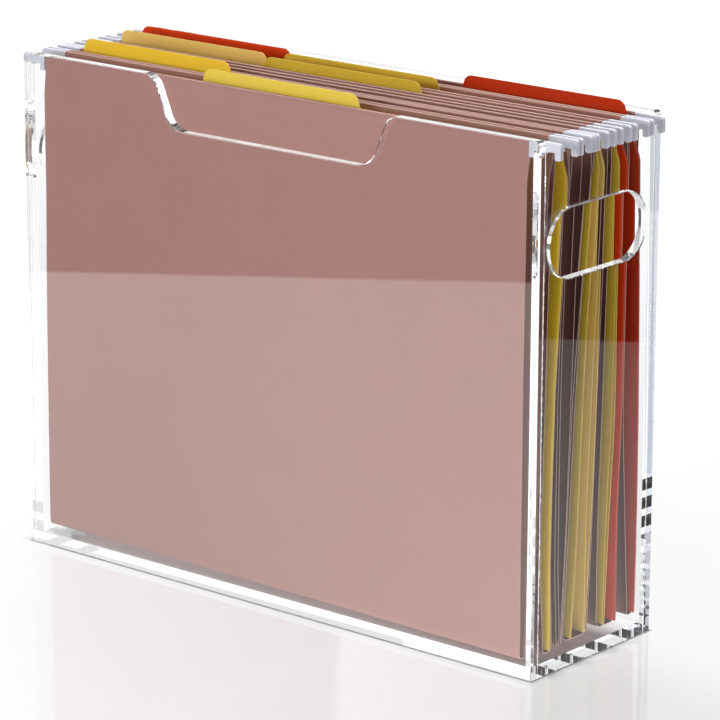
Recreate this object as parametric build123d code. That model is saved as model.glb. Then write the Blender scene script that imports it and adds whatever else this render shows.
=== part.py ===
"""Clear hanging file box with letter-size hanging folders on its end rails.

Origin: centre of the box's underside. +X to the right along the box, +Y to the rear, +Z up.
"""

import os

from build123d import *

# The clear box: five acrylic panels, welded edge to face
box_width = 309.9
box_depth = 89.9
box_height = 244.9
panel = 5.0
rail_height = 239.4  # top edge of the end panels, which the folders' hooks straddle
corner_radius = 2.0  # top outer corners of the front and rear panels
edge_ease = 0.4  # bevel of the polished edges

# The scoop in the front panel's top edge
scoop_depth = 24.9
scoop_bottom_width = 119.0
scoop_top_width = 139.8
scoop_bottom_radius = 11.0
scoop_shoulder_radius = 9.0

# The hand hole in each end panel
hand_hole_length = 71.0
hand_hole_height = 31.5
hand_hole_centre = 196.0

# The hangers: a flat steel strip with a plastic hook on each end
hook_span = 322.0
hook_top = 243.5
hook_thickness = 1.9
hook_inner_start = 145.6
hook_inner_leg = 148.3
hook_outer_leg = 157.9
hook_inner_bottom = 236.3
hook_outer_bottom = 236.0
hook_corner = 1.6
hook_leg_bevel = 0.6
strip_thickness = 0.8
strip_height = 3.0
strip_length = 306.0
strip_centre = 241.6

# The hanging folders' sheet: one scored and folded piece with a sleeve round each strip
sheet = 0.4
sheet_width = 293.0
sheet_bottom = 8.0
sleeve_length = 290.8
sleeve_height = 4.0
sleeve_rounding = 0.5
glued_flap_height = 9.0
side_cut_start = 226.0  # the sides draw in above this height, clear of the hooks
side_cut_end = 234.0

# The tab folders that stand in the hanging folders
leaf = 0.35
leaf_width = 290.4
leaf_bottom = 9.9
front_leaf_top = 239.6
rear_leaf_top = 241.0
tab_top = 249.3
tab_base_width = 93.4
tab_top_width = 88.0
tab_radius = 4.5
tab_side_offset = 97.0  # centre of a side tab from the middle of the folder
leaf_corner_start = 223.5
leaf_corner_knee = 230.0
leaf_corner_knee_inset = 2.4
leaf_corner_inset = 3.6
fold_sag = 1.8  # how far a bottom fold hangs below its score lines
inner_fold_sag = 0.5

# Places of each hanging folder along the rails:
# front hanger, rear hanger, centre of the bottom fold, width of the bottom fold
hanging_folders = {
    1: (-36.7, -24.9, -33.9, 4.4),
    2: (-21.7, -14.8, -19.3, 4.0),
    3: (-12.4, -9.9, -11.15, 2.5),
    4: (-3.0, 2.3, -1.2, 3.0),
    5: (7.4, 13.7, 9.9, 4.4),
    6: (18.0, 27.4, 22.2, 6.0),
    7: (30.3, 38.5, 33.6, 4.4),
}

# Places of each tab folder:
# middle of the tab along X, front leaf, rear leaf, centre of the fold, width of the fold
tab_folders = {
    "light_yellow": (0.0, -34.6, -33.0, -34.0, 1.2),
    "golden": (-tab_side_offset, -17.6, -16.2, -19.0, 1.2),
    "olive": (0.0, 8.95, 9.85, 9.25, 0.7),
    "pale_gold": (-tab_side_offset, 10.75, 11.75, 10.9, 0.7),
    "gold": (0.0, 20.9, 22.8, 20.6, 1.0),
    "red": (-tab_side_offset, 24.4, 25.9, 24.2, 0.9),
    "orange": (tab_side_offset, 34.0, 36.0, 33.6, 1.2),
}

half_width = box_width / 2
half_depth = box_depth / 2
inner_half_width = half_width - panel
inner_half_depth = half_depth - panel
hook_end = hook_span / 2
reach = 400.0  # longer than any piece, for outlines that are cut across one


def facing_front(y):
    """Plane at depth y whose sketch runs along X and Z and which extrudes towards the front."""
    return Plane(origin=(0, y, 0), x_dir=(1, 0, 0), z_dir=(0, -1, 0))


def facing_right(x):
    """Plane at x whose sketch runs along Y and Z and which extrudes to the right."""
    return Plane(origin=(x, 0, 0), x_dir=(0, 1, 0), z_dir=(1, 0, 0))


def outline(points):
    """Closed face through the points of an outline."""
    return make_face(Polyline(*points, close=True))


def at_height(shape, height):
    """Corners of a flat outline that lie at one height."""
    return shape.vertices().filter_by(lambda v: abs(v.Y - height) < 0.01)


def eased(piece, chosen):
    """Polish the edges of a panel that the rule chooses."""
    return chamfer(piece.edges().filter_by(chosen), edge_ease)


def front_panel():
    """Full-size front panel with the scoop in its top edge."""
    scoop_floor = box_height - scoop_depth
    face = outline([
        (-half_width, 0),
        (half_width, 0),
        (half_width, box_height),
        (scoop_top_width / 2, box_height),
        (scoop_bottom_width / 2, scoop_floor),
        (-scoop_bottom_width / 2, scoop_floor),
        (-scoop_top_width / 2, box_height),
        (-half_width, box_height),
    ])
    face = fillet(at_height(face, scoop_floor), scoop_bottom_radius)
    shoulders = at_height(face, box_height).filter_by(lambda v: abs(v.X) < half_width - 1)
    face = fillet(shoulders, scoop_shoulder_radius)
    corners = at_height(face, box_height).filter_by(lambda v: abs(v.X) > half_width - 1)
    face = fillet(corners, corner_radius)
    piece = extrude(facing_front(-inner_half_depth) * face, panel)
    return eased(piece, lambda e: e.center().Z > scoop_floor - 1 and not is_across(e))


def rear_panel():
    """Full-size rear panel with a straight top edge."""
    face = outline([
        (-half_width, 0),
        (half_width, 0),
        (half_width, box_height),
        (-half_width, box_height),
    ])
    face = fillet(at_height(face, box_height), corner_radius)
    piece = extrude(facing_front(half_depth) * face, panel)
    return eased(piece, lambda e: e.center().Z > box_height - corner_radius and not is_across(e))


def is_across(edge):
    """True for an edge that runs straight through a front or rear panel's thickness."""
    return edge.bounding_box().size.Y > panel - 0.1


def end_panel(side):
    """End panel between the front and rear panels: hand hole, and a top edge that is the rail."""
    face = outline([
        (-inner_half_depth, 0),
        (inner_half_depth, 0),
        (inner_half_depth, rail_height),
        (-inner_half_depth, rail_height),
    ])
    face -= Pos(0, hand_hole_centre) * SlotOverall(hand_hole_length, hand_hole_height)
    start = inner_half_width if side > 0 else -half_width
    piece = extrude(facing_right(start) * face, panel)
    hole_bottom = hand_hole_centre - hand_hole_height / 2 - 1

    def on_show(edge):
        box = edge.bounding_box()
        on_a_face = box.size.X < 0.01
        in_hole = box.size.Y < inner_half_depth * 2 - 1 and box.min.Z > hole_bottom
        upright = box.size.Z > rail_height - 1
        return on_a_face and not upright and (in_hole or box.min.Z > rail_height - 1)

    return eased(piece, on_show)


def base_panel():
    """Base between the four walls, flush with their lower edges."""
    return Pos(0, 0, panel / 2) * Box(inner_half_width * 2, inner_half_depth * 2, panel)


def strip(y):
    """Flat steel strip of one hanger, which runs into the hook at each end."""
    return Pos(0, y, strip_centre) * Box(strip_length, strip_thickness, strip_height)


def hook(y, side):
    """Plastic hook that straddles a rail: a bar with an inner and an outer leg."""
    face = outline([
        (hook_inner_start, hook_inner_bottom),
        (hook_inner_leg, hook_inner_bottom),
        (hook_inner_leg, rail_height),
        (hook_outer_leg, rail_height),
        (hook_outer_leg, hook_outer_bottom),
        (hook_end, hook_outer_bottom),
        (hook_end, hook_top),
        (hook_inner_start, hook_top),
    ])
    outer_top = at_height(face, hook_top).filter_by(lambda v: v.X > hook_outer_leg)
    face = fillet(outer_top, hook_corner)
    face = chamfer(at_height(face, hook_outer_bottom), hook_leg_bevel)
    piece = extrude(facing_front(y + hook_thickness / 2) * face, hook_thickness)
    piece = piece if side > 0 else mirror(piece, Plane.YZ)
    return piece - strip(y)


def hook_set(front, rear):
    """The four hooks of one hanging folder."""
    hooks = [hook(y, side) for y in (front, rear) for side in (1, -1)]
    return Compound(children=hooks)


def folded_section(front, rear, top, centre, width, bottom, sag, thickness):
    """Section of a sheet folded at the bottom: two leaves and a rounded fold between them."""
    half = thickness / 2
    score = bottom + sag
    sides = [(front - half, rear + half, -half), (front + half, rear - half, half)]
    loops = []
    for front_y, rear_y, inwards in sides:
        low_front = (centre - width / 2 + inwards, score)
        low_rear = (centre + width / 2 - inwards, score)
        lowest = (centre, bottom + half + inwards)
        loops.append(((front_y, top), low_front, lowest, low_rear, (rear_y, top)))
    outer, inner = loops
    edges = [
        Line(outer[0], outer[1]),
        ThreePointArc(outer[1], outer[2], outer[3]),
        Line(outer[3], outer[4]),
        Line(outer[4], inner[4]),
        Line(inner[4], inner[3]),
        ThreePointArc(inner[3], inner[2], inner[1]),
        Line(inner[1], inner[0]),
        Line(inner[0], outer[0]),
    ]
    return make_face(edges)


def sleeve_section(y, inwards):
    """Section of the sleeve round a strip, with the flap that is glued to the leaf below it."""
    wall = RectangleRounded(strip_thickness + 2 * sheet, sleeve_height, sleeve_rounding)
    flap_centre = strip_centre - glued_flap_height / 2
    flap = Pos(y + inwards * sheet / 2, flap_centre) * Rectangle(2 * sheet, glued_flap_height)
    return Pos(y, strip_centre) * wall + flap


def hanging_sheet(front, rear, centre, width):
    """Folded sheet of one hanging folder, with a sleeve along each top edge."""
    section = folded_section(front, rear, strip_centre, centre, width, sheet_bottom, fold_sag, sheet)
    section += sleeve_section(front, 1) + sleeve_section(rear, -1)
    for y in (front, rear):
        section -= Pos(y, strip_centre) * Rectangle(strip_thickness, strip_height)
    piece = extrude(facing_right(-sheet_width / 2) * section, sheet_width)
    half = sheet_width / 2
    narrow = sleeve_length / 2
    shape = outline([
        (-half, 0),
        (half, 0),
        (half, side_cut_start),
        (narrow, side_cut_end),
        (narrow, box_height),
        (-narrow, box_height),
        (-narrow, side_cut_end),
        (-half, side_cut_start),
    ])
    return piece & extrude(facing_front(reach) * shape, 2 * reach)


def leaf_outline(top):
    """Outline of a plain leaf with its top corners cut on a slant."""
    half = leaf_width / 2
    right = [
        (half, 0),
        (half, leaf_corner_start),
        (half - leaf_corner_knee_inset, leaf_corner_knee),
        (half - leaf_corner_inset, top),
    ]
    left = [(-x, z) for x, z in reversed(right)]
    return outline(right + left)


def tab_outline(middle):
    """Outline of a tab with rounded top corners, down to below the leaf's top edge."""
    half_base = tab_base_width / 2
    half_top = tab_top_width / 2
    face = outline([
        (middle - half_base, rear_leaf_top - 1),
        (middle + half_base, rear_leaf_top - 1),
        (middle + half_base, rear_leaf_top),
        (middle + half_top, tab_top),
        (middle - half_top, tab_top),
        (middle - half_base, rear_leaf_top),
    ])
    return fillet(at_height(face, tab_top), tab_radius)


def tab_folder(middle, front, rear, centre, width):
    """Card folder folded at the bottom: a plain front leaf and a rear leaf with a tab."""
    section = folded_section(front, rear, tab_top, centre, width, leaf_bottom, inner_fold_sag, leaf)
    piece = extrude(facing_right(-leaf_width / 2) * section, leaf_width)
    between = (front + rear) / 2
    front_space = extrude(facing_front(between) * leaf_outline(front_leaf_top), reach)
    rear_shape = leaf_outline(rear_leaf_top) + tab_outline(middle)
    rear_space = extrude(facing_front(between + reach) * rear_shape, reach)
    fold_space = Pos(0, 0, leaf_corner_start / 2) * Box(reach, reach, leaf_corner_start)
    return piece & (front_space + rear_space + fold_space)


def save(name, piece):
    """Write one piece as its own STEP file."""
    export_step(piece, f"parts/{name}.step")


os.makedirs("parts", exist_ok=True)
save("front_panel", front_panel())
save("rear_panel", rear_panel())
save("left_end_panel", end_panel(-1))
save("right_end_panel", end_panel(1))
save("base_panel", base_panel())
for number, (front, rear, centre, width) in hanging_folders.items():
    save(f"hanging_folder_{number}_sheet", hanging_sheet(front, rear, centre, width))
    save(f"hanging_folder_{number}_front_strip", strip(front))
    save(f"hanging_folder_{number}_rear_strip", strip(rear))
    save(f"hanging_folder_{number}_hooks", hook_set(front, rear))
for colour, places in tab_folders.items():
    save(f"{colour}_tab_folder", tab_folder(*places))
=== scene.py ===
"""Looks of a clear hanging file box with its hanging folders and tabbed card folders. Metres, +Z up."""

import math

import bpy
import numpy as np
from mathutils import Matrix, Vector, noise


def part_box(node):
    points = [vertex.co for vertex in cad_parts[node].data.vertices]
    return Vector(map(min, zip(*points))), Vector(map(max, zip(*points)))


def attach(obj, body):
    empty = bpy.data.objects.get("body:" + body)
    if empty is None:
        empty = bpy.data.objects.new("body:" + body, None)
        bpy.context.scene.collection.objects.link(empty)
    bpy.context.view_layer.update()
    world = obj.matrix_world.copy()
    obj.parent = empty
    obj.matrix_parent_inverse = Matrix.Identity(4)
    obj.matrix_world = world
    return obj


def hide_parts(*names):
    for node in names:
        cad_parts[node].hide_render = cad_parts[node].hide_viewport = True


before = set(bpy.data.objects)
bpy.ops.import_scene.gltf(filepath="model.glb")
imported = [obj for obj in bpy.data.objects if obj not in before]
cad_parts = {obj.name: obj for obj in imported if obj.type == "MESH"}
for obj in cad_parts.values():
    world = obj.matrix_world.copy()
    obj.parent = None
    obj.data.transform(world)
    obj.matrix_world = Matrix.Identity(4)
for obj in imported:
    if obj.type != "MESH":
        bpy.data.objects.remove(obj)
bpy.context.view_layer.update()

# The clear box: five panels of cast acrylic, cut out, flame-polished along the edges and welded
# together with solvent. A welded face lets light straight through, but its outer end keeps a
# broken line of small bubbles.

outer_half_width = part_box("front_panel")[1].x
outer_half_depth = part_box("rear_panel")[1].y
panel_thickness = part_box("base_panel")[1].z
inner_half_width = outer_half_width - panel_thickness
inner_half_depth = outer_half_depth - panel_thickness
rail_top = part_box("right_end_panel")[1].z


def node(tree, kind, inputs=None, **settings):
    """Add a shader node; an input is a plain value or the socket that feeds it."""
    made = tree.nodes.new(kind)
    for name, value in settings.items():
        setattr(made, name, value)
    for name, value in (inputs or {}).items():
        if isinstance(value, bpy.types.NodeSocket):
            tree.links.new(value, made.inputs[name])
        else:
            made.inputs[name].default_value = value
    return made


def calc(tree, operation, first, second=0.0, third=0.0):
    """Math node on up to three values or sockets."""
    made = node(tree, "ShaderNodeMath", {0: first, 1: second, 2: third}, operation=operation)
    return made.outputs[0]


def near(tree, value, place, width):
    """Mask that is 1 where the value is within the width of the place."""
    return calc(tree, "COMPARE", value, place, width)


def new_material(name):
    """Material with an empty node tree, and its output's surface socket."""
    material = bpy.data.materials.new(name)
    material.use_nodes = True
    tree = material.node_tree
    tree.nodes.clear()
    return material, tree, node(tree, "ShaderNodeOutputMaterial").inputs["Surface"]


def place_of(tree):
    """X, Y and Z of a point in the object's own space."""
    where = node(tree, "ShaderNodeTexCoord").outputs["Object"]
    return where, node(tree, "ShaderNodeSeparateXYZ", {0: where}).outputs


acrylic, tree, surface = new_material("clear_acrylic")
where, xyz = place_of(tree)
across = calc(tree, "ABSOLUTE", xyz["X"])
deep = calc(tree, "ABSOLUTE", xyz["Y"])
height = xyz["Z"]
contact = 0.00005
# where two panels touch
on_front_or_rear = near(tree, deep, inner_half_depth, contact)
on_end = near(tree, across, inner_half_width, contact)
beside_end = calc(
    tree, "MULTIPLY", calc(tree, "GREATER_THAN", across, inner_half_width - contact),
    calc(tree, "LESS_THAN", height, rail_top))
beside_base = calc(tree, "LESS_THAN", height, panel_thickness)
welded = calc(
    tree, "MAXIMUM",
    calc(tree, "MULTIPLY", on_front_or_rear, calc(tree, "MAXIMUM", beside_end, beside_base)),
    calc(tree, "MULTIPLY", on_end, beside_base))
# bubbles along the open end of an upright joint, with bare stretches between them
bead_swing = 0.0016
bead_bare = -0.00062
bead = node(tree, "ShaderNodeTexNoise", {"Vector": where, "Scale": 420.0, "Detail": 1.0})
bead_width = calc(tree, "MULTIPLY_ADD", bead.outputs["Fac"], bead_swing, bead_bare)
on_joint = calc(tree, "LESS_THAN", calc(
    tree, "ABSOLUTE", calc(tree, "SUBTRACT", deep, inner_half_depth)), bead_width)
on_outside = calc(tree, "GREATER_THAN", across, outer_half_width - contact)
bubbles = calc(tree, "MULTIPLY", on_joint, on_outside)
# a painted highlight: a faint whitish band round the wall of each hand hole
hole_height = 0.196
hole_half_straight = 0.01975
hole_radius = 0.01575
hole_wall_band = 0.0002
hole_highlight = 0.22
past_straight = calc(tree, "MAXIMUM", calc(tree, "SUBTRACT", deep, hole_half_straight))
above_hole = calc(tree, "SUBTRACT", height, hole_height)
from_middle = calc(tree, "SQRT", calc(
    tree, "MULTIPLY_ADD", above_hole, above_hole, calc(tree, "MULTIPLY", past_straight, past_straight)))
hole_wall = calc(
    tree, "MULTIPLY", near(tree, from_middle, hole_radius, hole_wall_band),
    calc(tree, "GREATER_THAN", across, inner_half_width + contact))
highlit_hole_wall = calc(tree, "MULTIPLY", hole_wall, hole_highlight)
# the white bubbles, and the painted highlight on the hand holes' walls
bubbles_and_highlight = calc(tree, "MAXIMUM", bubbles, highlit_hole_wall)

# the rear panel's sawn ends look blue-grey
rear_end = calc(tree, "MULTIPLY", on_outside, calc(
    tree, "GREATER_THAN", xyz["Y"], inner_half_depth + contact))
clear_tint = node(tree, "ShaderNodeMix", {
    "Factor": rear_end, "A": (0.985, 0.992, 1.0, 1.0), "B": (0.46, 0.5, 0.58, 1.0)},
    data_type="RGBA")
glass = node(tree, "ShaderNodeBsdfPrincipled", {
    "Base Color": clear_tint.outputs["Result"], "Roughness": 0.0, "IOR": 1.49,
    "Transmission Weight": 1.0})
whitened = node(tree, "ShaderNodeBsdfPrincipled", {
    "Base Color": (0.9, 0.9, 0.9, 1.0), "Roughness": 0.6})
open_air = node(tree, "ShaderNodeBsdfTransparent")
path = node(tree, "ShaderNodeLightPath").outputs
with_spots = node(tree, "ShaderNodeMixShader", {
    0: bubbles_and_highlight, 1: glass.outputs[0], 2: whitened.outputs[0]})
with_welds = node(tree, "ShaderNodeMixShader", {
    0: welded, 1: with_spots.outputs[0], 2: open_air.outputs[0]})
passes = calc(tree, "MAXIMUM", path["Is Shadow Ray"], path["Is Diffuse Ray"])
for_lamps = node(tree, "ShaderNodeMixShader", {
    0: passes, 1: with_welds.outputs[0], 2: open_air.outputs[0]})
tree.links.new(for_lamps.outputs[0], surface)

for panel in ("front_panel", "rear_panel", "left_end_panel", "right_end_panel", "base_panel"):
    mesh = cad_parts[panel].data
    mesh.materials.clear()
    mesh.materials.append(acrylic)

# The papers in the box: fourteen leaves of the hanging sheets and fourteen of the card folders,
# one behind the other. They hang or stand straight at the left, and at the right they have slid
# forward at the foot. Leaves that meet lean on each other. Paper sizes are in millimetres.

MM = 0.001
stack_heights = (239, 220, 120, 50, 13)
# top and foot of each leaf where it is straight, and its right edge's depths at the stack heights
stack = {
    "hanging_1_front": ((-36.7, -36.1), (-36.4, -36.6, -37.1, -37.3, -36.9)),
    "light_yellow_front": ((-34.6, -34.6), (-35.5, -36.0, -36.7, -36.9, -36.4)),
    "light_yellow_rear": ((-33.0, -33.4), (-34.9, -35.4, -36.2, -36.4, -35.9)),
    "hanging_1_rear": ((-24.9, -31.7), (-25.2, -26.55, -29.85, -31.75, -32.65)),
    "hanging_2_front": ((-21.7, -21.3), (-22.29, -25.85, -29.25, -31.05, -28.25)),
    "golden_front": ((-17.6, -19.6), (-17.61, -17.9, -24.1, -25.9, -25.1)),
    "golden_rear": ((-16.2, -18.4), (-16.41, -16.9, -23.5, -25.3, -23.9)),
    "hanging_2_rear": ((-14.8, -17.3), (-14.89, -15.35, -21.85, -23.55, -21.85)),
    "hanging_3_front": ((-12.4, -12.4), (-12.79, -14.65, -19.85, -20.35, -18.15)),
    "hanging_3_rear": ((-9.9, -9.9), (-10.49, -13.75, -17.75, -18.05, -15.95)),
    "hanging_4_front": ((-3.0, -2.7), (-3.05, -5.9, -10.2, -13.0, -15.0)),
    "hanging_4_rear": ((2.3, 0.3), (2.3, 1.2, -8.8, -12.4, -14.2)),
    "hanging_5_front": ((7.4, 7.7), (6.5, 1.7, -7.0, -11.2, -13.4)),
    "olive_front": ((8.95, 8.9), (8.59, 5.5, -2.9, -6.1, -8.9)),
    "olive_rear": ((9.85, 9.6), (9.49, 6.1, -2.4, -5.6, -8.3)),
    "pale_gold_front": ((10.75, 10.55), (10.49, 9.5, 3.9, 1.2, 1.1)),
    "pale_gold_rear": ((11.75, 11.25), (11.49, 10.2, 7.5, 4.5, 2.3)),
    "hanging_5_rear": ((13.7, 12.1), (13.71, 13.45, 9.35, 6.55, 4.75)),
    "hanging_6_front": ((18.0, 19.2), (17.91, 16.25, 13.65, 11.15, 11.75)),
    "gold_front": ((20.9, 20.1), (20.69, 20.7, 19.4, 16.1, 15.5)),
    "gold_rear": ((22.8, 21.1), (22.49, 21.5, 21.7, 18.3, 16.9)),
    "red_front": ((24.4, 23.75), (24.39, 25.7, 25.3, 23.0, 23.1)),
    "red_rear": ((25.9, 24.65), (25.79, 26.5, 26.0, 23.7, 24.1)),
    "hanging_6_rear": ((27.4, 25.2), (27.91, 28.95, 28.55, 25.75, 26.15)),
    "hanging_7_front": ((30.3, 31.4), (30.3, 29.85, 29.35, 32.65, 35.55)),
    "orange_front": ((34.0, 33.0), (33.5, 34.8, 37.7, 38.4, 38.1)),
    "orange_rear": ((36.0, 34.2), (35.2, 35.5, 38.2, 38.85, 38.6)),
    "hanging_7_rear": ((38.5, 35.8), (37.4, 36.3, 38.8, 39.3, 39.2)),
}
sheet_thickness = 0.4
card_thickness = 0.35
foot = 13.0
# how much of the right edge's bend reaches the left edge
left_follows = 0.45
# a hanging leaf is held where its sleeve starts, and gives more and more over a length below it
tops_fixed = 239.0
held_length = 14.0
gap_between_leaves = 0.1
gap_to_wall = 0.3
# the leaves are even at this height and fully uneven a length below it
ripple_top = 238
ripple_grows = 60


def smooth_line(places, values, wanted):
    """Values at the wanted places on a smooth curve through a few known ones."""
    order = np.argsort(places)
    x = np.asarray(places, float)[order]
    y = np.asarray(values, float)[order]
    steps = np.diff(y) / np.diff(x)
    slopes = np.concatenate(([steps[0]], np.zeros(len(x) - 2), [steps[-1]]))
    for i in range(1, len(x) - 1):
        if steps[i - 1] * steps[i] > 0:
            before = x[i] - x[i - 1]
            after = x[i + 1] - x[i]
            weights = (before + 2 * after, 2 * before + after)
            slopes[i] = sum(weights) / (weights[0] / steps[i - 1] + weights[1] / steps[i])
    w = np.clip(np.asarray(wanted, float), x[0], x[-1])
    i = np.clip(np.searchsorted(x, w) - 1, 0, len(x) - 2)
    width = x[i + 1] - x[i]
    t = (w - x[i]) / width
    return ((2 * t**3 - 3 * t**2 + 1) * y[i] + (t**3 - 2 * t**2 + t) * width * slopes[i]
            + (3 * t**2 - 2 * t**3) * y[i + 1] + (t**3 - t**2) * width * slopes[i + 1])


def ripple(x, z, own):
    """Slight unevenness of a leaf, in millimetres."""
    shared = 0.5 * noise.noise(Vector((x * 2.4, 3.0, z / 90)))
    alone = 0.25 * noise.noise(Vector((x * 3.1, own * 9.7, z / 70)))
    return (shared + alone) * min(1, max(0, (ripple_top - z) / ripple_grows))


stack_rows = np.linspace(9, 242, 118)
stack_columns = np.linspace(-1, 1, 25)
stack_names = list(stack)
depths = np.zeros((len(stack), len(stack_rows), len(stack_columns)))
for place, (straight, right_edge) in enumerate(stack.values()):
    stood = np.interp(stack_rows, (foot, 241), straight[::-1])
    bent = smooth_line(stack_heights, right_edge, stack_rows)
    for c, column in enumerate(stack_columns):
        share = 1 - (1 - left_follows) * (1 - column) / 2
        uneven = [ripple(column, z, place) for z in stack_rows]
        depths[place, :, c] = stood + share * (bent - stood) + uneven

# push apart the leaves that would cross, then smooth each one along the box
hung = np.array([name.startswith("hanging") for name in stack_names])
thick = np.where(hung, sheet_thickness, card_thickness)
clearance = ((thick[1:] + thick[:-1]) / 2 + gap_between_leaves)[:, None, None]
below_sleeve = np.clip((tops_fixed - stack_rows) / held_length, 0.001, 1)
freedom = np.where(hung[:, None], below_sleeve, 1.0)[..., None]
share_of_push = freedom[:-1] / (freedom[:-1] + freedom[1:])
limit = inner_half_depth / MM - gap_to_wall
for _ in range(300):
    crossing = np.minimum(depths[1:] - depths[:-1] - clearance, 0)
    depths[:-1] += crossing * share_of_push
    depths[1:] -= crossing * (1 - share_of_push)
    depths = np.clip(depths, -limit, limit)
for _ in range(2):
    depths[:, 1:-1] = (depths[:, :-2] + 2 * depths[:, 1:-1] + depths[:, 2:]) / 4


def leaf_points(name, column, heights):
    """A leaf's depth and height at one column, at each of the heights."""
    leaf = depths[stack_names.index(name)]
    at = np.interp(column, stack_columns, range(len(stack_columns)))
    before = min(int(at), len(stack_columns) - 2)
    line = leaf[:, before] * (before + 1 - at) + leaf[:, before + 1] * (at - before)
    return [(np.interp(z, stack_rows, line), z) for z in heights]


# The hanging folders' sheets: one piece of dyed paper stock each, scored and folded at the
# bottom. Its two top edges are turned over a steel strip and glued down on the inside.

sheet_half_width = 146.0
sleeve_half_length = 145.4
side_cut_start = 226.0
side_cut_end = 234.0
front_sheet_slid = -1.3
front_sheet_leans = 1.5
outer_side_shift = 0.5
flap_heights = (232.7, 235.5, 238.3)
glue_thickness = 0.02
# above this height the sleeve's top gets the paler colour, a painted highlight
sleeve_crease = 243.35
cut_side = 0.9999
nick_depth = 0.16
# how low each fold hangs at its left and right ends; the front two hang a little askew
sheet_lowest = {1: (8.5, 6.0), 2: (8.25, 6.6)}
other_sheets_lowest = (8.25, 8.25)
hangers = {
    1: (-36.7, -24.9), 2: (-21.7, -14.8), 3: (-12.4, -9.9), 4: (-3.0, 2.3),
    5: (7.4, 13.7), 6: (18.0, 27.4), 7: (30.3, 38.5),
}


def fold_points(front, rear, lowest, start, count, squareness):
    """Rounded fold between the lower ends of two leaves."""
    middle = (front + rear) / 2
    half = (rear - front) / 2
    points = []
    for k in range(1, count):
        turn = math.pi * k / count
        side = abs(math.cos(turn)) ** squareness
        drop = abs(math.sin(turn)) ** squareness
        points.append((middle - math.copysign(half * side, math.cos(turn)),
                       start - (start - lowest) * drop))
    return points


def sheet_mesh(name, columns, line_at, edges_at, thickness, seed, crease=math.inf):
    """Closed sheet along X whose section at each column is a line in Y and Z (millimetres).

    It is paler along its cut edges, the bare edge with a painted highlight on it, and above the crease,
    where the paler top is a painted highlight.
    """
    rings = []
    edge_and_top_paling = []
    for column in columns:
        line = np.array(line_at(column))
        ahead = np.gradient(line, axis=0)
        ahead /= np.linalg.norm(ahead, axis=1)[:, None]
        aside = np.stack((ahead[:, 1], -ahead[:, 0]), axis=1) * thickness / 2
        at_side = abs(column) > cut_side
        ragged = 1.0 if at_side else 0.0
        for y, z in np.concatenate((line + aside, line - aside)):
            nick = noise.noise(Vector((column * 7, seed, z * 0.35))) * nick_depth - nick_depth / 2
            left, right = edges_at(z)
            x = (left + right) / 2 + column * ((right - left) / 2 + ragged * nick)
            rings.append((x * MM, y * MM, z * MM))
            edge_and_top_paling.append(1.0 if at_side or z > crease else 0.0)
    count = len(line)
    ring = 2 * count
    faces = []
    cut = []
    for c in range(len(columns) - 1):
        a, b = c * ring, (c + 1) * ring
        for k in range(count - 1):
            faces.append((a + k, b + k, b + k + 1, a + k + 1))
            faces.append((a + count + k, a + count + k + 1, b + count + k + 1, b + count + k))
            cut += [0, 0]
        faces.append((a, a + count, b + count, b))
        faces.append((a + count - 1, b + count - 1, b + ring - 1, a + ring - 1))
        cut += [1, 1]
    last = (len(columns) - 1) * ring
    for k in range(count - 1):
        faces.append((k, k + 1, count + k + 1, count + k))
        faces.append((last + k, last + count + k, last + count + k + 1, last + k + 1))
        cut += [1, 1]
    mesh = bpy.data.meshes.new(name)
    mesh.from_pydata(rings, [], faces)
    mesh.polygons.foreach_set("material_index", cut)
    mesh.polygons.foreach_set("use_smooth", [True] * len(faces))
    mesh.attributes.new("paled_edges_and_top", "FLOAT", "POINT").data.foreach_set("value", edge_and_top_paling)
    mesh.set_sharp_from_angle(angle=math.radians(50))
    mesh.update()
    piece = bpy.data.objects.new(name, mesh)
    bpy.context.scene.collection.objects.link(piece)
    return piece


def sleeve_points(hanger, inwards):
    """Sheet's line round a strip, from the inner side over the top to the outer side."""
    shape = [(0.62, 240.0), (0.62, 241.3), (0.63, 243.0), (0.57, 243.27), (0.36, 243.39),
             (-0.36, 243.39), (-0.57, 243.27), (-0.63, 243.0), (-0.62, 241.3), (-0.62, 240.0)]
    return [(hanger + inwards * y, z) for y, z in shape]


def sheet_columns(count):
    """Columns across a sheet, from -1 to 1, closer at its two cut edges."""
    inner = np.linspace(-0.985, 0.985, count)
    return [-1.0, -0.998] + list(inner) + [0.998, 1.0]


def sheet_edges(z):
    """Left and right edges of a hanging sheet, which draw in at the top, clear of the hooks."""
    half = np.interp(z, (side_cut_start, side_cut_end), (sheet_half_width, sleeve_half_length))
    return -half, half


def front_sheet_edges(z):
    """Edges of the front sheet, which has slid left on its strips; its left one leans outwards."""
    slid = np.interp(z, (side_cut_start, side_cut_end), (front_sheet_slid, 0))
    leans = np.interp(z, (foot, side_cut_start), (front_sheet_leans, 0))
    return slid - sleeve_half_length - leans, slid + sleeve_half_length


def hung_leaf(number, side, column, heights):
    """A hanging leaf's line; it leaves the sleeve on the outer side of the strip."""
    outwards = -outer_side_shift if side == "front" else outer_side_shift
    return [(y + outwards * np.interp(z, (tops_fixed - held_length, tops_fixed), (0, 1)), z)
            for y, z in leaf_points(f"hanging_{number}_{side}", column, heights)]


def hanging_line(number, squareness):
    """The whole line of one hanging sheet, from flap to flap, at a column."""
    front, rear = hangers[number]
    lows = sheet_lowest.get(number, other_sheets_lowest)
    rows = np.concatenate((np.linspace(238.6, 214, 8), np.linspace(206, foot, 22)))

    def line_at(column):
        halves = []
        for side, hanger, inwards in (("front", front, 1), ("rear", rear, -1)):
            flap = [(y + inwards * (sheet_thickness + glue_thickness), z)
                    for y, z in hung_leaf(number, side, column, flap_heights)]
            halves.append(flap + sleeve_points(hanger, inwards)
                          + hung_leaf(number, side, column, rows))
        lowest = np.interp(column, (-1, 1), lows)
        low = fold_points(halves[0][-1][0], halves[1][-1][0], lowest, foot, 12, squareness)
        return halves[0] + low + halves[1][::-1]

    return line_at


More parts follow.
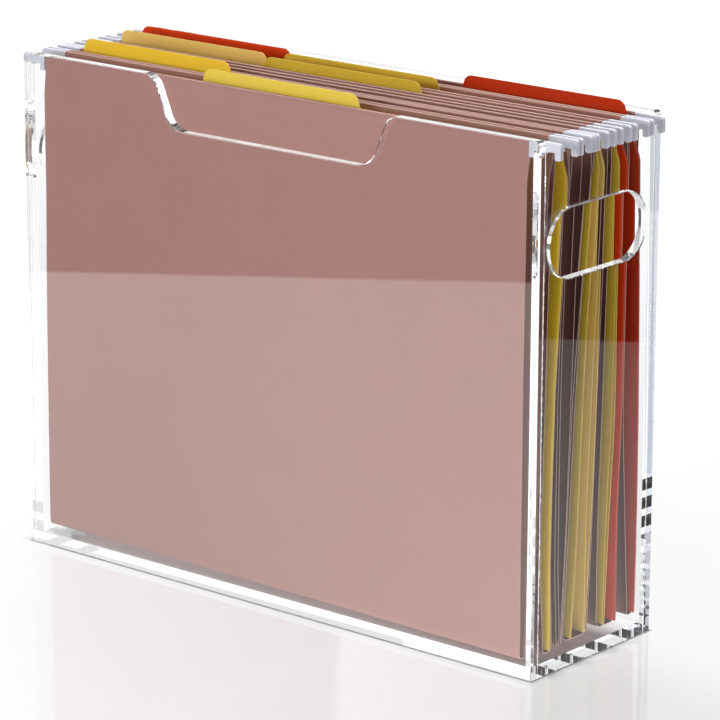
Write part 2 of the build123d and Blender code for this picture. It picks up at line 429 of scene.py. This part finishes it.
def effect_group(name, inputs, outputs):
    """Empty node group with named inputs (name, kind, default) and outputs (name, kind)."""
    group = bpy.data.node_groups.new(name, "ShaderNodeTree")
    for label, kind, default in inputs:
        socket = group.interface.new_socket(label, in_out="INPUT", socket_type=f"NodeSocket{kind}")
        socket.default_value = default
    for label, kind in outputs:
        group.interface.new_socket(label, in_out="OUTPUT", socket_type=f"NodeSocket{kind}")
    entry = group.nodes.new("NodeGroupInput")
    leave = group.nodes.new("NodeGroupOutput")
    return group, entry.outputs, leave.inputs


# fibres and slight cloudiness of paper and card, with a little relief; a sheet can also get painted
# shade, darker towards its sides below its top, where the leaves shade each other
fibres, entry, out = effect_group(
    "paper_fibres",
    [("Color", "Color", (0.5, 0.5, 0.5, 1)), ("Cloud", "Float", 0.06), ("Fleck", "Float", 0.1),
     ("Pale Color", "Color", (0.8, 0.7, 0.65, 1)), ("Relief", "Float", 0.08),
     ("Shade At Sides", "Float", 0.0)],
    [("Color", "Color"), ("Roughness", "Float"), ("Normal", "Vector")])
where, xyz = place_of(fibres)
clouds = node(fibres, "ShaderNodeTexNoise", {"Vector": where, "Scale": 35.0, "Detail": 3.0})
stretched = node(fibres, "ShaderNodeMapping", {"Vector": where, "Scale": (1.0, 1.0, 0.35)})
flecks = node(fibres, "ShaderNodeTexNoise", {
    "Vector": stretched.outputs[0], "Scale": 1800.0, "Detail": 2.0})
shade = calc(fibres, "MULTIPLY_ADD", calc(
    fibres, "SUBTRACT", clouds.outputs["Fac"], 0.5), calc(
    fibres, "MULTIPLY", entry["Cloud"], 2.0), 1.0)
shade = calc(fibres, "MULTIPLY_ADD", calc(
    fibres, "SUBTRACT", flecks.outputs["Fac"], 0.5), entry["Fleck"], shade)
# painted shade: the colour goes towards near black along the sheet's sides, below its top
towards_side = node(fibres, "ShaderNodeMapRange", {
    "Value": calc(fibres, "ABSOLUTE", xyz["X"]), "From Min": 0.134, "From Max": 0.146})
below_top = node(fibres, "ShaderNodeMapRange", {
    "Value": xyz["Z"], "From Min": 0.235, "From Max": 0.222})
side_shade_amount = calc(fibres, "MULTIPLY", entry["Shade At Sides"], calc(
    fibres, "MULTIPLY", towards_side.outputs["Result"], below_top.outputs["Result"]))
# the near-black colour of the painted shade
shaded_at_sides_colour = node(fibres, "ShaderNodeMix", {
    "Factor": side_shade_amount, "A": entry["Color"], "B": (0.05, 0.012, 0.007, 1)}, data_type="RGBA")
tone = node(fibres, "ShaderNodeVectorMath", {
    0: shaded_at_sides_colour.outputs["Result"], "Scale": shade}, operation="SCALE")
# paler colour where the mesh marks it: the bare cut edge with a painted highlight, and a painted
# highlight on a sleeve's top
edge = node(fibres, "ShaderNodeAttribute", attribute_name="paled_edges_and_top")
edge_and_top_paling = calc(fibres, "MULTIPLY", edge.outputs["Fac"], calc(
    fibres, "MULTIPLY_ADD", flecks.outputs["Fac"], 0.8, 0.1))
coloured = node(fibres, "ShaderNodeMix", {
    "Factor": edge_and_top_paling, "A": tone.outputs[0], "B": entry["Pale Color"]}, data_type="RGBA")
fibres.links.new(coloured.outputs["Result"], out["Color"])
fibres.links.new(calc(fibres, "MULTIPLY_ADD", clouds.outputs["Fac"], 0.2, 0.62), out["Roughness"])
relief = node(fibres, "ShaderNodeBump", {
    "Height": flecks.outputs["Fac"], "Strength": entry["Relief"], "Distance": 0.0002})
fibres.links.new(relief.outputs[0], out["Normal"])


def paper_stock(name, colour, pale_colour, cloud=0.06, fleck=0.1, relief=0.08, shade_at_sides=0.0,
                shine=0.3):
    """Matt paper or card of one colour, paler where the mesh marks it: the bare cut edge with a painted
    highlight along it, and a painted highlight on a sleeve's top.
    """
    made, tree, surface = new_material(name)
    stock = tree.nodes.new("ShaderNodeGroup")
    stock.node_tree = fibres
    stock.inputs["Color"].default_value = (*colour, 1)
    stock.inputs["Cloud"].default_value = cloud
    stock.inputs["Fleck"].default_value = fleck
    stock.inputs["Pale Color"].default_value = (*pale_colour, 1)
    stock.inputs["Relief"].default_value = relief
    stock.inputs["Shade At Sides"].default_value = shade_at_sides
    shader = node(tree, "ShaderNodeBsdfPrincipled", {
        "Base Color": stock.outputs["Color"], "Roughness": stock.outputs["Roughness"],
        "Normal": stock.outputs["Normal"], "Specular IOR Level": shine})
    tree.links.new(shader.outputs[0], surface)
    return made


mauve = (0.37, 0.191, 0.169)
# the paler colour of the cut edges and of the painted highlight on the sleeves' tops
pale_mauve = (0.5, 0.34, 0.28)
mauve_paper = paper_stock("mauve_paper", mauve, pale_mauve)
# the inner sheets carry painted shade along their sides
paper_shaded_at_sides = paper_stock("mauve_paper_shaded_at_sides", mauve, pale_mauve, shade_at_sides=0.9, shine=0.15)
mauve_cut = paper_stock("mauve_paper_cut", pale_mauve, pale_mauve)
for number in hangers:
    squareness = 1.0 if number in (3, 4) else 0.5
    edges = front_sheet_edges if number == 1 else sheet_edges
    piece = sheet_mesh(f"hanging_sheet_{number}", sheet_columns(31),
                       hanging_line(number, squareness), edges, sheet_thickness, number,
                       sleeve_crease)
    piece.data.materials.append(mauve_paper if number == 1 else paper_shaded_at_sides)
    piece.data.materials.append(mauve_cut)
    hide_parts(f"hanging_folder_{number}_sheet")
    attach(piece, f"hanging_folder_{number}")

# The hangers: a flat spring-steel strip in each sleeve, with a moulded nylon hook pressed on each
# end. The nylon is pale and lets a little light in.

steel, tree, surface = new_material("strip_steel")
where, xyz = place_of(tree)
drawn = node(tree, "ShaderNodeMapping", {"Vector": where, "Scale": (4.0, 900.0, 900.0)})
brushed = node(tree, "ShaderNodeTexNoise", {
    "Vector": drawn.outputs[0], "Scale": 1.0, "Detail": 3.0})
strip_shader = node(tree, "ShaderNodeBsdfPrincipled", {
    "Base Color": (0.6, 0.6, 0.62, 1), "Metallic": 1.0,
    "Roughness": calc(tree, "MULTIPLY_ADD", brushed.outputs["Fac"], 0.25, 0.25)})
tree.links.new(strip_shader.outputs[0], surface)

nylon, tree, surface = new_material("hook_plastic")
where, xyz = place_of(tree)
moulded = node(tree, "ShaderNodeTexNoise", {"Vector": where, "Scale": 260.0, "Detail": 2.0})
tint = node(tree, "ShaderNodeMix", {
    "Factor": moulded.outputs["Fac"], "A": (0.54, 0.55, 0.62, 1), "B": (0.64, 0.65, 0.73, 1)},
    data_type="RGBA")
hook_bump = node(tree, "ShaderNodeBump", {
    "Height": moulded.outputs["Fac"], "Strength": 0.1, "Distance": 0.0002})
hook_shader = node(tree, "ShaderNodeBsdfPrincipled", {
    "Base Color": tint.outputs["Result"], "Roughness": 0.42, "Normal": hook_bump.outputs[0],
    "Subsurface Weight": 0.25, "Subsurface Scale": 0.002, "Subsurface Radius": (1.0, 1.0, 1.0)})
tree.links.new(hook_shader.outputs[0], surface)

for number in hangers:
    for part, finish in (("front_strip", steel), ("rear_strip", steel), ("hooks", nylon)):
        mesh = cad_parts[f"hanging_folder_{number}_{part}"].data
        mesh.materials.clear()
        mesh.materials.append(finish)

# The tab folders: die-cut card, folded once at the bottom, with a rounded third-cut tab on the
# rear leaf. They stand in the hanging folders and lean with them.

front_leaf_top = 239.6
rear_leaf_top = 241.0
corner_heights = (223.5, 230, 241)
corner_cut = 3.6
corner_cut_halfway = 2.4
tab_top = 249.3
tab_slant = 2.7
tab_rounding = 4.5
# how low the cards' folds stand at their left and right ends
card_lowest = {"golden": (9.25, 7.7)}
other_cards_lowest = (9.25, 9.25)
card_fold_start = 11.2
card_grain = {"cloud": 0.04, "fleck": 0.08, "relief": 0.05}
# each folder's tab (its middle, half width and how far it has sunk), half width and colour
card_folders = {
    "light_yellow": ((-1.0, 48.3, 0.0), 143.0, (0.74, 0.545, 0.07)),
    "golden": ((-94.4, 48.3, 0.0), 147.0, (0.88, 0.585, 0.036)),
    "olive": ((-1.6, 48.9, 1.0), 147.0, (0.7, 0.5, 0.046)),
    "pale_gold": ((-96.4, 48.5, 0.0), 147.0, (0.82, 0.58, 0.16)),
    "gold": ((-1.6, 48.6, 1.1), 147.0, (0.71, 0.49, 0.05)),
    "red": ((-94.8, 49.6, 0.0), 148.0, (0.66, 0.047, 0.003)),
    "orange": ((96.2, 47.5, 0.6), 148.0, (0.52, 0.032, 0.001)),
}


def tab_height(x, tab):
    """Top edge of a rear leaf at X: a rounded tab on a straight edge."""
    middle, half_base, sunk = tab
    off = abs(x - middle)
    top = tab_top - sunk
    base = rear_leaf_top - sunk
    slant = math.atan2(top - base, tab_slant)
    arc_centre = half_base - tab_slant - tab_rounding / math.tan((math.pi - slant) / 2)
    if off >= half_base:
        return base
    if off <= arc_centre:
        return top
    on_arc = off - arc_centre
    if on_arc <= tab_rounding * math.sin(slant):
        return top - tab_rounding + math.sqrt(tab_rounding**2 - on_arc**2)
    return base + (half_base - off) * math.tan(slant)


def card_edges(half_width):
    """Edges of a card leaf at each height; its top corners are cut on a slant."""

    def edges_at(z):
        half = half_width - np.interp(z, corner_heights, (0, corner_cut_halfway, corner_cut))
        return -half, half

    return edges_at


def card_columns(tab, half_width):
    """Columns across a card, closer along the tab's rounded corners and the cut edges."""
    middle, half_base, _ = tab
    inner = list(np.linspace(-0.985, 0.985, 27))
    for side in (-1, 1):
        for short in (6.0, 5.2, 4.4, 3.7, 3.1, 2.6, 2.2, 1.9, 1.6, 1.2, 0.8, 0.4, 0.0, -0.4):
            inner.append((middle + side * (half_base - short)) / (half_width - corner_cut))
    kept = sorted({round(float(v), 6) for v in inner if abs(v) < 0.9975})
    return [-1.0, -0.998] + kept + [0.998, 1.0]


def card_line(colour, tab, half_width):
    """Line of one folded card from the front leaf's top edge to the tab, at a column."""
    lows = card_lowest.get(colour, other_cards_lowest)

    def line_at(column):
        x = column * (half_width - corner_cut)
        leaves = []
        for side, top in (("front", front_leaf_top), ("rear", tab_height(x, tab))):
            rows = np.concatenate((np.linspace(top, 212, 12), np.linspace(204, card_fold_start, 21)))
            leaves.append(leaf_points(f"{colour}_{side}", column, rows))
        lowest = np.interp(column, (-1, 1), lows)
        low = fold_points(leaves[0][-1][0], leaves[1][-1][0], lowest, card_fold_start, 8, 0.8)
        return leaves[0] + low + leaves[1][::-1]

    return line_at


for place, (colour, (tab, half_width, rgb)) in enumerate(card_folders.items()):
    # the paler colour of a card's cut edges: the bare edge, with a painted highlight
    pale = tuple(0.85 * c + 0.08 for c in rgb)
    piece = sheet_mesh(f"{colour}_card_folder", card_columns(tab, half_width),
                       card_line(colour, tab, half_width), card_edges(half_width),
                       card_thickness, 20 + place)
    face = paper_stock(f"{colour}_card", rgb, pale, **card_grain, shine=0.15)
    cut_face = paper_stock(f"{colour}_card_cut", pale, pale, **card_grain)
    piece.data.materials.append(face)
    piece.data.materials.append(cut_face)
    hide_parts(f"{colour}_tab_folder")
    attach(piece, f"{colour}_tab_folder")

# The table: a white, glossy sheet. What mirrors in the box's faces is the table as far as its
# edge and the dark room past it.

table_mesh = bpy.data.meshes.new("table")
reach = 6.0
table_drop = 0.0002
table_mesh.from_pydata(
    [(-reach, -reach, -table_drop), (reach, -reach, -table_drop), (reach, reach, -table_drop),
     (-reach, reach, -table_drop)], [], [(0, 1, 2, 3)])
table = bpy.data.objects.new("table", table_mesh)
bpy.context.scene.collection.objects.link(table)
white_table, tree, surface = new_material("white_table")
table_mesh.materials.append(white_table)
where, xyz = place_of(tree)


def beyond(tree, xyz, first, second):
    """Mask that is 1 on the far side of the line through two points of the table."""
    along = (second[0] - first[0], second[1] - first[1])
    scaled_x = calc(tree, "MULTIPLY", xyz["X"], -along[1])
    scaled = calc(tree, "MULTIPLY_ADD", xyz["Y"], along[0], scaled_x)
    offset = first[1] * along[0] - first[0] * along[1]
    return calc(tree, "GREATER_THAN", scaled, offset)


# two points on each of the table's edges that the box mirrors
front_edge = ((-0.2809, -0.6075), (-0.5265, -0.4334))
right_edge = ((0.4532, 0.4505), (0.5015, 0.4209))
past_front = beyond(tree, xyz, *front_edge)
past_right = beyond(tree, xyz, *right_edge)
off_table = calc(tree, "MAXIMUM", past_front, past_right)
path = node(tree, "ShaderNodeLightPath").outputs
mirrored = calc(tree, "GREATER_THAN", path["Glossy Depth"], 0.5)
bounced = calc(tree, "GREATER_THAN", path["Diffuse Depth"], 0.5)
# what the box mirrors: a white table that is duller to the right, and white all over where a panel
# has passed the light along
towards_right = node(tree, "ShaderNodeMapRange", {
    "Value": xyz["X"], "From Min": 0.145, "From Max": 0.165, "To Min": 1.25, "To Max": 0.7})
further_right = node(tree, "ShaderNodeMapRange", {
    "Value": xyz["X"], "From Min": 0.2, "From Max": 0.62, "To Max": 0.52})
beside_box = calc(
    tree, "SUBTRACT", towards_right.outputs["Result"], further_right.outputs["Result"])
guided = calc(tree, "GREATER_THAN", path["Glossy Depth"], 4.5)
mirrored_once = calc(
    tree, "MULTIPLY", calc(tree, "SUBTRACT", 1.0, off_table), beside_box)
mirrored_level = calc(tree, "MAXIMUM", mirrored_once, guided)
# painted shadow: the table's glow drops to almost nothing in a patch under the papers, set a little
# forward of the box, and only the lamps light the table there
shade_forward = 0.009
shade_half_depth = 0.027
from_shade = calc(tree, "ABSOLUTE", calc(tree, "ADD", xyz["Y"], shade_forward))
outside = calc(
    tree, "MAXIMUM",
    calc(tree, "SUBTRACT", calc(tree, "ABSOLUTE", xyz["X"]), inner_half_width),
    calc(tree, "SUBTRACT", from_shade, shade_half_depth))
clear_of_box = node(tree, "ShaderNodeMapRange", {
    "Value": outside, "From Min": -0.005, "From Max": 0.014}, interpolation_type="SMOOTHSTEP")
shade_level = 0.03
clear_level = 0.8
straight_level = calc(
    tree, "MULTIPLY_ADD", clear_of_box.outputs["Result"], clear_level, shade_level)
# painted light and shade in the table's glow: brighter towards the left and behind the papers, and a
# painted shadow to the front right of the box
lit_left = node(tree, "ShaderNodeMapRange", {
    "Value": xyz["X"], "From Min": -0.12, "From Max": 0.04, "To Min": 0.09, "To Max": 0.0})
straight_level = calc(tree, "ADD", straight_level, lit_left.outputs["Result"])
from_outline = calc(
    tree, "MAXIMUM",
    calc(tree, "SUBTRACT", calc(tree, "ABSOLUTE", xyz["X"]), outer_half_width),
    calc(tree, "SUBTRACT", calc(tree, "ABSOLUTE", xyz["Y"]), outer_half_depth))
in_box = calc(tree, "LESS_THAN", from_outline)
behind_papers = node(tree, "ShaderNodeMapRange", {
    "Value": xyz["Y"], "From Min": 0.015, "From Max": 0.042, "To Max": 0.25})
straight_level = calc(
    tree, "MULTIPLY_ADD", in_box, behind_papers.outputs["Result"], straight_level)
dull_right = node(tree, "ShaderNodeMapRange", {
    "Value": xyz["X"], "From Min": 0.06, "From Max": 0.19, "To Max": 0.15})
dull_front = node(tree, "ShaderNodeMapRange", {
    "Value": xyz["Y"], "From Min": -0.04, "From Max": 0.04, "To Min": 1.0, "To Max": 0.1},
    interpolation_type="SMOOTHSTEP")
straight_level = calc(tree, "SUBTRACT", straight_level, calc(
    tree, "MULTIPLY", dull_right.outputs["Result"], dull_front.outputs["Result"]))
# painted contact shadow: a thin dark line where the box stands
off_outline = node(tree, "ShaderNodeMapRange", {
    "Value": calc(tree, "ABSOLUTE", from_outline), "From Min": 0.0004, "From Max": 0.0016,
    "To Min": 0.15, "To Max": 1.0})
straight_level = calc(tree, "MULTIPLY", straight_level, off_outline.outputs["Result"])
far_off = node(tree, "ShaderNodeMapRange", {
    "Value": outside, "From Min": 0.1, "From Max": 0.9, "To Max": 0.2})
straight_level = calc(tree, "ADD", straight_level, far_off.outputs["Result"])
# the table's glow that lights the box in place of bounced light, most of it close to the right end
near_right = node(tree, "ShaderNodeMapRange", {
    "Value": xyz["X"], "From Min": -0.1, "From Max": 0.16, "To Min": 0.5, "To Max": 1.6})
away_right = node(tree, "ShaderNodeMapRange", {
    "Value": xyz["X"], "From Min": 0.19, "From Max": 0.4, "To Max": 1.25})
bounced_level = calc(
    tree, "SUBTRACT", near_right.outputs["Result"], away_right.outputs["Result"])
seen_level = node(tree, "ShaderNodeMix", {
    "Factor": bounced, "A": straight_level, "B": bounced_level}, data_type="FLOAT")
level = node(tree, "ShaderNodeMix", {
    "Factor": mirrored, "A": seen_level.outputs["Result"], "B": mirrored_level},
    data_type="FLOAT")
glow = node(tree, "ShaderNodeEmission", {"Strength": level.outputs["Result"]})
matt = node(tree, "ShaderNodeBsdfDiffuse", {"Color": (0.12, 0.12, 0.12, 1.0)})
body = node(tree, "ShaderNodeAddShader", {0: glow.outputs[0], 1: matt.outputs[0]})
# its gloss, which fades away from the box
gloss = node(tree, "ShaderNodeBsdfGlossy", {"Color": (1, 1, 1, 1), "Roughness": 0.05})
shine = node(tree, "ShaderNodeFresnel", {"IOR": 1.45})
gloss_reach = node(tree, "ShaderNodeMapRange", {
    "Value": outside, "From Min": 0.25, "From Max": 0.6, "To Min": 1.0, "To Max": 0.0},
    interpolation_type="SMOOTHSTEP")
finish = node(tree, "ShaderNodeMixShader", {
    0: calc(tree, "MULTIPLY", shine.outputs[0], gloss_reach.outputs["Result"]),
    1: body.outputs[0], 2: gloss.outputs[0]})
straight_on = node(tree, "ShaderNodeMixShader", {
    0: mirrored, 1: finish.outputs[0], 2: glow.outputs[0]})
tree.links.new(straight_on.outputs[0], surface)

# The studio: a white backdrop, a soft box overhead, one in front and a small one at the right, and
# a dark room that shows only in the gloss of the acrylic.

world = bpy.data.worlds.new("studio")
bpy.context.scene.world = world
world.use_nodes = True
tree = world.node_tree
tree.nodes.clear()
where = node(tree, "ShaderNodeTexCoord").outputs["Generated"]
xyz = node(tree, "ShaderNodeSeparateXYZ", {0: where}).outputs
path = node(tree, "ShaderNodeLightPath").outputs
mirrored = calc(tree, "GREATER_THAN", path["Glossy Depth"], 0.5)
soft = calc(tree, "GREATER_THAN", path["Diffuse Depth"], 0.5)
overhead = node(tree, "ShaderNodeMapRange", {
    "Value": xyz["Z"], "From Min": 0.3, "From Max": 0.6}, interpolation_type="SMOOTHSTEP")
behind = node(tree, "ShaderNodeMapRange", {
    "Value": xyz["Y"], "From Min": -0.15, "From Max": 0.2}, interpolation_type="SMOOTHSTEP")
room = calc(tree, "MAXIMUM", overhead.outputs["Result"], behind.outputs["Result"])
straight = node(tree, "ShaderNodeMix", {"Factor": mirrored, "A": 1.0, "B": room}, data_type="FLOAT")
side_light = node(tree, "ShaderNodeMapRange", {
    "Value": xyz["X"], "From Min": -0.2, "From Max": 0.35, "To Min": 0.25, "To Max": 0.1},
    interpolation_type="SMOOTHSTEP")
strength = node(tree, "ShaderNodeMix", {
    "Factor": soft, "A": straight.outputs["Result"], "B": side_light.outputs["Result"]},
    data_type="FLOAT")
background = node(tree, "ShaderNodeBackground", {"Strength": strength.outputs["Result"]})
tree.links.new(background.outputs[0], node(tree, "ShaderNodeOutputWorld").inputs["Surface"])


def soft_box(name, place, target, width, height, power):
    """Large lamp that points at a target and isn't seen itself."""
    data = bpy.data.lights.new(name, "AREA")
    data.shape = "RECTANGLE"
    data.size = width
    data.size_y = height
    data.energy = power
    lamp = bpy.data.objects.new(name, data)
    bpy.context.scene.collection.objects.link(lamp)
    lamp.location = place
    lamp.rotation_euler = (Vector(target) - Vector(place)).to_track_quat("-Z", "Y").to_euler()
    lamp.visible_camera = False


soft_box("overhead_softbox", (0.0, 0.55, 1.5), (0, 0, 0.12), 1.6, 1.2, 34)
soft_box("front_softbox", (-0.5, -1.7, 0.52), (0, 0, 0.12), 1.4, 0.6, 18.5)
soft_box("right_softbox", (1.3, -0.8, 0.4), (0.15, 0, 0.12), 0.8, 0.8, 4)

# light is passed along inside a panel many times before it comes out at an edge
cycles = bpy.context.scene.cycles
cycles.max_bounces = 64
cycles.glossy_bounces = 64
cycles.transmission_bounces = 64
cycles.transparent_max_bounces = 64
cycles.diffuse_bounces = 4
bpy.context.scene.view_settings.view_transform = "Standard"

# The camera: a long lens at the front right, a little above the box. It stands so far off that the
# box's upright edges stay nearly parallel.

azimuth = math.radians(39.91)
elevation = math.radians(15.57)
roll = math.radians(0.18)
aim = Vector((0.018, 0.0, 0.114))
distance = 1.7857
back = Vector((math.sin(azimuth) * math.cos(elevation), -math.cos(azimuth) * math.cos(elevation),
               math.sin(elevation)))
level_right = Vector((math.cos(azimuth), math.sin(azimuth), 0))
level_up = back.cross(level_right)
right = math.cos(roll) * level_right + math.sin(roll) * level_up
up = -math.sin(roll) * level_right + math.cos(roll) * level_up
lens = bpy.data.cameras.new("camera")
lens.lens = 191.08
lens.sensor_width = 36.0
lens.clip_end = 100.0
camera = bpy.data.objects.new("camera", lens)
bpy.context.scene.collection.objects.link(camera)
camera.matrix_world = Matrix.Translation(aim + back * distance) @ Matrix(
    (right, up, back)).transposed().to_4x4()
bpy.context.scene.camera = camera
